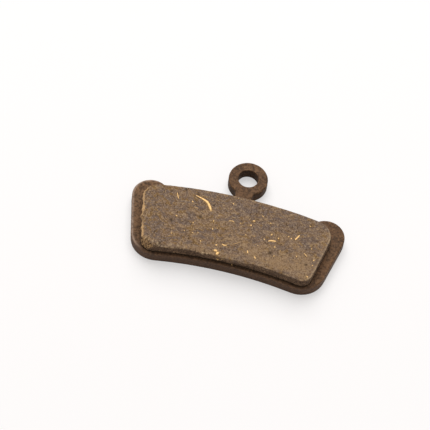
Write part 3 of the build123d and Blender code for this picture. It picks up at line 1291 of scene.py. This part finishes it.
class BRAKEPAD_OT_friction_block(bpy.types.Operator):
    """Dress the friction block with a fine mesh, its pits, chips, burr and compound"""

    bl_idname = "brakepad.friction_block"
    bl_label = "Friction Block"

    def execute(self, context):
        look = context.scene.brakepad_compound
        low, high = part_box(BLOCK)
        outlines = flat_outlines(BLOCK, high.z)
        depth = high.z - low.z
        foot = (high.x - outlines[0][:, 0].max(), depth)
        count = round(depth / look.step)
        profile = rolled(look.edge, EDGE_ROWS) + straight((look.edge, look.edge), foot, count)
        slab = Slab(outlines, high.z, [profile], look.step)
        points, marks = self.weathered(slab, depth, look)
        made = piece("friction_block_dressed", points, slab.faces, friction_compound(look), marks)
        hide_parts(BLOCK)
        return {"FINISHED"}

    def weathered(self, slab, depth, look):
        """The block's points moved by wear, and the marks of that wear, with a painted highlight along the
        rim and on the burr, and painted shade at the foot.
        """
        points = slab.points
        from_rim = slab.inset + slab.drop
        on_face = smooth(slab.inset, 0.0, RIM_BAND)
        on_wall = smooth(slab.drop, 0.0, RIM_BAND)
        front = smooth(-slab.facing[:, 1], *FRONT_FACING)
        right = smooth(slab.facing[:, 0], *END_FACING)
        left = smooth(-slab.facing[:, 0], *END_FACING)

        small = SMALL_PIT_SHARE * smooth(lumps(points, SMALL_PIT_SIZE, octaves=2), *SMALL_PIT_LEVELS)
        pit = np.maximum(self.pits(points), small) * on_face
        chip = smooth(lumps(points, CHIP_SIZE, layer=7.0), *CHIP_LEVELS) * bell(from_rim, CHIP_BAND)
        chip *= CHIP_LEAST + (1 - CHIP_LEAST) * front
        burr = self.burr(slab)
        crumb = self.crumbs(points)
        # Foot of the walls: drawn in as a groove, and darkened there as painted shade
        foot = smooth(slab.drop, depth - GROOVE_TOP, depth - GROOVE_FULL)

        relief = look.ripple * lumps(points, RIPPLE_SIZE) * (1 - on_wall)
        relief += look.lump * on_wall * lumps(points, LUMP_SIZE, layer=3.0) * (1 - foot)
        relief += look.flash * burr + look.lump * crumb
        relief -= look.pit * pit + look.chip * chip * (1 - crumb) + look.groove * foot
        normals = point_normals(points, slab.faces)
        moved = points + normals * (relief * (slab.drop < depth - SAME_HEIGHT))[:, None]
        ragged = 1 + RAGGED_SHARE * lumps(points, RAGGED_SIZE, layer=23.0)
        near_rim = np.exp(-slab.inset / BULGE_BAND) * (1 - smooth(slab.drop, *BULGE_DEPTH))
        bulge = areas(points, BULGED_RIM) * ragged - areas(points, WORN_RIM) + left * (ragged - 1)
        moved[:, :2] += slab.facing * (look.bulge * bulge * near_rim)[:, None]
        moved, cut = self.broken_corner(moved)

        corner = smooth(-points[:, 0], *CORNER_START) * front * (1 - smooth(slab.drop, *CORNER_DEPTH))
        worn = areas(points, WORN_FRONT) * (1 - smooth(slab.drop, *WORN_DEPTH))
        drift = np.column_stack([lumps(points, WANDER_SIZE, layer=layer) for layer in WANDER_LAYERS])
        wander = points + WANDER_REACH * drift
        return moved, {
            "pit": pit,
            "broken": BROKEN_SHARE * smooth(chip, *BROKEN_LEVELS) * (1 - on_wall),
            "crumbled": np.clip(cut + corner, 0, 1),
            # Painted highlight along the rim of the right end and of part of the front
            "rim": np.maximum(right, areas(points, PALE_RIM)) * bell(from_rim, PALE_BAND),
            "crumb": crumb,
            # Burr along the left end, its gold partly a painted highlight
            "flash": burr * (1 - cut),
            # Painted shade in the crevice at the foot
            "foot": foot,
            "wall": on_wall * (1 - worn),
            "slate": areas(wander, SLATE_AREAS) * (1 - on_wall),
            "tan": areas(wander, TAN_AREAS) * (1 - on_wall),
            "amber": areas(wander, AMBER_AREAS) * (1 - on_wall),
        }

    def pits(self, points):
        """How deep each point lies in one of the large pits."""
        spreads = [(x, y, reach * PIT_SPREAD) for x, y, reach in PITS]
        return areas(points, [Area(x, y, spread, spread, 1.0) for x, y, spread in spreads])

    def burr(self, slab):
        """How far each point belongs to the burr along the left end."""
        left = smooth(-slab.facing[:, 0], *BURR_FACING)
        places, widths, strengths = np.array(BURR).T
        width = np.interp(slab.points[:, 1] / MM, places, widths) * MM
        width *= 1 + lumps(slab.points, BURR_SIZE, layer=11.0)
        strength = np.interp(slab.points[:, 1] / MM, places, strengths)
        beyond = smooth(slab.inset + slab.drop, BURR_CORE * width, width + SAME_POINT)
        return left * strength * (1 - beyond)

    def crumbs(self, points):
        """How far each point belongs to one of the pale crumbs on the front."""
        held = np.zeros(len(points))
        for *place, reach in CRUMBS:
            span = np.linalg.norm(points / MM - place, axis=1) / reach
            held = np.maximum(held, 1 - smooth(span, *CRUMB_EDGE))
        return held

    def broken_corner(self, points):
        """Points with the lower left corner crumbled off along a rough plane, and how far each was cut."""
        over = (points - np.array(BREAK_POINT) * MM) @ np.array(BREAK_SLANT)
        over += BREAK_ROUGHNESS * lumps(points, BREAK_SIZE, layer=13.0)
        cut = np.maximum(over, 0) * smooth(-points[:, 0], *BREAK_START)
        return points - np.outer(cut, BREAK_SLANT), smooth(cut, 0.0, BREAK_ROUGHNESS)


class BRAKEPAD_OT_brass_fibres(bpy.types.Operator):
    """Lay the long brass fibres in the rubbing face"""

    bl_idname = "brakepad.brass_fibres"
    bl_label = "Brass Fibres"

    def execute(self, context):
        look = context.scene.brakepad_brass
        material = brass(look)
        values = {"Face Height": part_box(BLOCK)[1].z, "Flatness": look.flatness, "Material": material}
        mesh = grown("brass_fibres", chains(FIBRES.values()), strand_tree(), values)
        placed("brass_fibres", mesh, material)
        return {"FINISHED"}


class BRAKEPAD_OT_brass_grains(bpy.types.Operator):
    """Set the larger brass grains and scatter the small flecks in the rubbing face"""

    bl_idname = "brakepad.brass_grains"
    bl_label = "Brass Grains and Flecks"

    def execute(self, context):
        look = context.scene.brakepad_brass
        material = bpy.data.materials[BRASS]
        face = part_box(BLOCK)[1].z
        values = {
            "Face Height": face,
            "Flatness": look.flatness,
            "Seed": look.seed,
            "Material": material,
        }
        grains = grown("brass_grains", loose_points(GRAINS), grain_tree(), values)
        placed("brass_grains", grains, material)
        values = {
            "Density": look.count / SQUARE_CM,
            "Longest": look.fleck,
            "Flatness": look.flatness,
            "Seed": look.seed,
            "Material": material,
        }
        flecks = grown("brass_flecks", face_copy(BLOCK, face), fleck_tree(), values)
        placed("brass_flecks", flecks, material)
        return {"FINISHED"}


class BRAKEPAD_OT_stage(bpy.types.Operator):
    """Set the floor, the soft light and the camera"""

    bl_idname = "brakepad.stage"
    bl_label = "Stage"

    def execute(self, context):
        look = context.scene.brakepad_stage
        self.lay_floor(look)
        self.light_room(context, look)
        self.hang_key(look)
        self.aim_camera(context, look)
        context.scene.view_settings.view_transform = "Standard"
        return {"FINISHED"}

    def seen(self, nodes):
        """1 where a ray comes from the camera or by way of gloss or glass, and so sees plain white."""
        path = nodes.node("ShaderNodeLightPath").outputs
        camera = Field(nodes, path["Is Camera Ray"])
        return camera.most(path["Is Glossy Ray"]).most(path["Is Transmission Ray"])

    def lay_floor(self, look):
        """A pale floor that keeps the pad's shadow."""
        half = FLOOR_HALF
        corners = [(-half, -half, 0.0), (half, -half, 0.0), (half, half, 0.0), (-half, half, 0.0)]
        mesh = bpy.data.meshes.new("floor")
        mesh.from_pydata(corners, [], [(0, 1, 2, 3)])
        finish = Finish("floor")
        paper = finish.node("ShaderNodeBsdfDiffuse", None, {"Color": look.floor}).outputs[0]
        white = finish.node("ShaderNodeEmission").outputs[0]
        lift = self.seen(finish) * look.whiteness
        mixed = finish.node("ShaderNodeMixShader", None, {0: lift, 1: paper, 2: white})
        finish.node("ShaderNodeOutputMaterial", None, {"Surface": mixed.outputs[0]})
        mesh.materials.append(finish.material)
        floor = bpy.data.objects.new("floor", mesh)
        bpy.context.collection.objects.link(floor)

    def light_room(self, context, look):
        """Even light from all round, in a room that looks white."""
        world = bpy.data.worlds.new("room")
        world.use_nodes = True
        nodes = Nodes(world.node_tree)
        fill = nodes.node("ShaderNodeBackground", None, {"Color": look.warmth, "Strength": look.fill})
        white = nodes.node("ShaderNodeBackground", None, {"Color": WHITE, "Strength": 1.0})
        mixed = nodes.node(
            "ShaderNodeMixShader", None, {0: self.seen(nodes), 1: fill.outputs[0], 2: white.outputs[0]}
        )
        nodes.node("ShaderNodeOutputWorld", None, {"Surface": mixed.outputs[0]})
        context.scene.world = world

    def hang_key(self, look):
        """A soft light that faces the pad, with the power that gives its level there."""
        place = Vector(look.key_place)
        lamp = bpy.data.lights.new("key", "AREA")
        lamp.size = look.key_size
        lamp.energy = look.key * math.pi**2 * place.length_squared
        key = bpy.data.objects.new("key", lamp)
        key.location = place
        key.rotation_mode = "QUATERNION"
        key.rotation_quaternion = place.to_track_quat("Z", "Y")
        bpy.context.collection.objects.link(key)

    def aim_camera(self, context, look):
        """A camera that looks down on the pad."""
        level = math.cos(look.elevation)
        aside = math.sin(look.azimuth) * level
        ahead = math.cos(look.azimuth) * level
        back = Vector((aside, -ahead, math.sin(look.elevation)))
        data = bpy.data.cameras.new("camera")
        data.lens = look.lens
        data.clip_start = look.distance * CLIP_SHARE
        camera = bpy.data.objects.new("camera", data)
        camera.location = Vector(look.aim) + back * look.distance
        camera.rotation_mode = "QUATERNION"
        camera.rotation_quaternion = back.to_track_quat("Z", "Y") @ Quaternion((0.0, 0.0, 1.0), look.roll)
        bpy.context.collection.objects.link(camera)
        context.scene.camera = camera


class BRAKEPAD_PT_pad(bpy.types.Panel):
    """Lists the pad's pieces and the looks that a user may change"""

    bl_idname = "BRAKEPAD_PT_pad"
    bl_label = "Disc Brake Pad"
    bl_space_type = "VIEW_3D"
    bl_region_type = "UI"
    bl_category = "Brake Pad"

    def draw(self, context):
        for operators, name in PANEL_ROWS:
            box = self.layout.box()
            for operator in operators:
                box.operator(operator.bl_idname)
            look = getattr(context.scene, name)
            for prop in look.__annotations__:
                box.prop(look, prop)


LOOKS = {
    "brakepad_plate": PlateLook,
    "brakepad_compound": CompoundLook,
    "brakepad_brass": BrassLook,
    "brakepad_stage": StageLook,
}
PANEL_ROWS = [
    ([BRAKEPAD_OT_backing_plate], "brakepad_plate"),
    ([BRAKEPAD_OT_friction_block], "brakepad_compound"),
    ([BRAKEPAD_OT_brass_fibres, BRAKEPAD_OT_brass_grains], "brakepad_brass"),
    ([BRAKEPAD_OT_stage], "brakepad_stage"),
]
OPERATORS = [operator for operators, _ in PANEL_ROWS for operator in operators]
CLASSES = [*LOOKS.values(), *OPERATORS, BRAKEPAD_PT_pad]


def register():
    """Adds the classes, and the looks to every scene."""
    for cls in CLASSES:
        bpy.utils.register_class(cls)
    for name, look in LOOKS.items():
        setattr(bpy.types.Scene, name, bpy.props.PointerProperty(type=look))


def unregister():
    """Takes the looks and the classes away again."""
    for name in LOOKS:
        delattr(bpy.types.Scene, name)
    for cls in reversed(CLASSES):
        bpy.utils.unregister_class(cls)


def main():
    """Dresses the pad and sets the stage."""
    register()
    bpy.ops.brakepad.backing_plate()
    bpy.ops.brakepad.friction_block()
    bpy.ops.brakepad.brass_fibres()
    bpy.ops.brakepad.brass_grains()
    bpy.ops.brakepad.stage()


if __name__ == "__main__":
    main()
